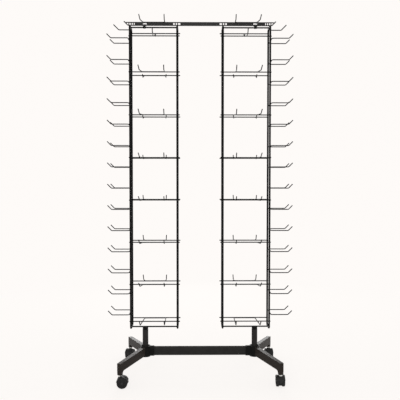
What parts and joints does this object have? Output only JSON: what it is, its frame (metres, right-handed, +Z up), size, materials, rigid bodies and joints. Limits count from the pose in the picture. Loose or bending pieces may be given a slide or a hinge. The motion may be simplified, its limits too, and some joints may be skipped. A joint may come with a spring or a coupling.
{
  "type": "spinner display rack",
  "caption": "Free-standing wire display rack: tall hook towers that spin on upright pivots between a header rail and a wheeled oval-beam base",
  "frame": {"origin": "On the floor at the middle of the rack", "axes": "+X along the rack to the viewer's right, +Y to the back, +Z up"},
  "size_m": [0.795, 0.4196, 1.5422],
  "materials": {
    "satin_black_steel": "satin black powder coat",
    "black_wire": "satin black powder coat over wire",
    "black_polymer": "moulded black, fine grain",
    "wheel_black": "moulded black wheel, worn tread",
    "bright_zinc": "bright zinc plate",
    "screw_black": "black oxide"
  },
  "bodies": {
    "base": {"base_beam": "satin_black_steel", "hub_left": "satin_black_steel", "hub_right": "satin_black_steel", "beam_screws": "screw_black", "leg_front_left": "satin_black_steel", "leg_front_right": "satin_black_steel", "leg_rear_left": "satin_black_steel", "leg_rear_right": "satin_black_steel", "base_post_left": "satin_black_steel", "base_post_right": "satin_black_steel", "post_bush_left": "black_polymer", "post_bush_right": "black_polymer", "header_upper_rod": "black_wire", "header_lower_rod": "black_wire", "header_webs": "black_wire", "header_hooks": "black_wire", "header_pivot_left": "black_wire", "header_pivot_right": "black_wire"},
    "tower_left": {"left_outer_loop": "black_wire", "left_inner_loop": "black_wire", "left_front_rungs": "black_wire", "left_rear_rungs": "black_wire", "left_pivot_bars": "black_wire", "left_front_hooks": "black_wire", "left_rear_hooks": "black_wire", "left_side_hooks": "black_wire", "left_top_hooks": "black_wire", "left_top_boss": "black_wire", "left_pivot_foot": "black_wire"},
    "tower_right": {"right_outer_loop": "black_wire", "right_inner_loop": "black_wire", "right_front_rungs": "black_wire", "right_rear_rungs": "black_wire", "right_pivot_bars": "black_wire", "right_front_hooks": "black_wire", "right_rear_hooks": "black_wire", "right_side_hooks": "black_wire", "right_top_hooks": "black_wire", "right_top_boss": "black_wire", "right_pivot_foot": "black_wire"},
    "caster_front_left": {"front_left_stem": "bright_zinc", "front_left_housing": "black_polymer", "front_left_axle": "bright_zinc"},
    "wheel_front_left_a": {"front_left_wheel_a": "wheel_black"},
    "wheel_front_left_b": {"front_left_wheel_b": "wheel_black"},
    "caster_front_right": {"front_right_stem": "bright_zinc", "front_right_housing": "black_polymer", "front_right_axle": "bright_zinc"},
    "wheel_front_right_a": {"front_right_wheel_a": "wheel_black"},
    "wheel_front_right_b": {"front_right_wheel_b": "wheel_black"},
    "caster_rear_left": {"rear_left_stem": "bright_zinc", "rear_left_housing": "black_polymer", "rear_left_axle": "bright_zinc"},
    "wheel_rear_left_a": {"rear_left_wheel_a": "wheel_black"},
    "wheel_rear_left_b": {"rear_left_wheel_b": "wheel_black"},
    "caster_rear_right": {"rear_right_stem": "bright_zinc", "rear_right_housing": "black_polymer", "rear_right_axle": "bright_zinc"},
    "wheel_rear_right_a": {"rear_right_wheel_a": "wheel_black"},
    "wheel_rear_right_b": {"rear_right_wheel_b": "wheel_black"}
  },
  "joints": [
    {"name": "tower_left_spin", "type": "hinge", "parent": "base", "child": "tower_left", "pos_m": [-0.24, 0, 0.85], "axis": [0, 0, 1], "continuous": true},
    {"name": "tower_right_spin", "type": "hinge", "parent": "base", "child": "tower_right", "pos_m": [0.24, 0, 0.85], "axis": [0, 0, 1], "continuous": true},
    {"name": "caster_front_left_swivel", "type": "hinge", "parent": "base", "child": "caster_front_left", "pos_m": [-0.327, -0.192, 0.07], "axis": [0, 0, 1], "continuous": true},
    {"name": "wheel_front_left_a_spin", "type": "hinge", "parent": "caster_front_left", "child": "wheel_front_left_a", "pos_m": [-0.3175, -0.1796, 0.022], "axis": [0, 1, 0], "continuous": true},
    {"name": "wheel_front_left_b_spin", "type": "hinge", "parent": "caster_front_left", "child": "wheel_front_left_b", "pos_m": [-0.3175, -0.2044, 0.022], "axis": [0, 1, 0], "continuous": true},
    {"name": "caster_front_right_swivel", "type": "hinge", "parent": "base", "child": "caster_front_right", "pos_m": [0.327, -0.192, 0.07], "axis": [0, 0, 1], "continuous": true},
    {"name": "wheel_front_right_a_spin", "type": "hinge", "parent": "caster_front_right", "child": "wheel_front_right_a", "pos_m": [0.3146, -0.1825, 0.022], "axis": [-1, 0, 0], "continuous": true},
    {"name": "wheel_front_right_b_spin", "type": "hinge", "parent": "caster_front_right", "child": "wheel_front_right_b", "pos_m": [0.3394, -0.1825, 0.022], "axis": [-1, 0, 0], "continuous": true},
    {"name": "caster_rear_left_swivel", "type": "hinge", "parent": "base", "child": "caster_rear_left", "pos_m": [-0.327, 0.192, 0.07], "axis": [0, 0, 1], "continuous": true},
    {"name": "wheel_rear_left_a_spin", "type": "hinge", "parent": "caster_rear_left", "child": "wheel_rear_left_a", "pos_m": [-0.31748, 0.17961, 0.022], "axis": [0.9659, -0.2588, 0], "continuous": true},
    {"name": "wheel_rear_left_b_spin", "type": "hinge", "parent": "caster_rear_left", "child": "wheel_rear_left_b", "pos_m": [-0.34144, 0.18603, 0.022], "axis": [0.9659, -0.2588, 0], "continuous": true},
    {"name": "caster_rear_right_swivel", "type": "hinge", "parent": "base", "child": "caster_rear_right", "pos_m": [0.327, 0.192, 0.07], "axis": [0, 0, 1], "continuous": true},
    {"name": "wheel_rear_right_a_spin", "type": "hinge", "parent": "caster_rear_right", "child": "wheel_rear_right_a", "pos_m": [0.34018, 0.18362, 0.022], "axis": [0.9962, 0.0872, 0], "continuous": true},
    {"name": "wheel_rear_right_b_spin", "type": "hinge", "parent": "caster_rear_right", "child": "wheel_rear_right_b", "pos_m": [0.31548, 0.18146, 0.022], "axis": [0.9962, 0.0872, 0], "continuous": true}
  ]
}
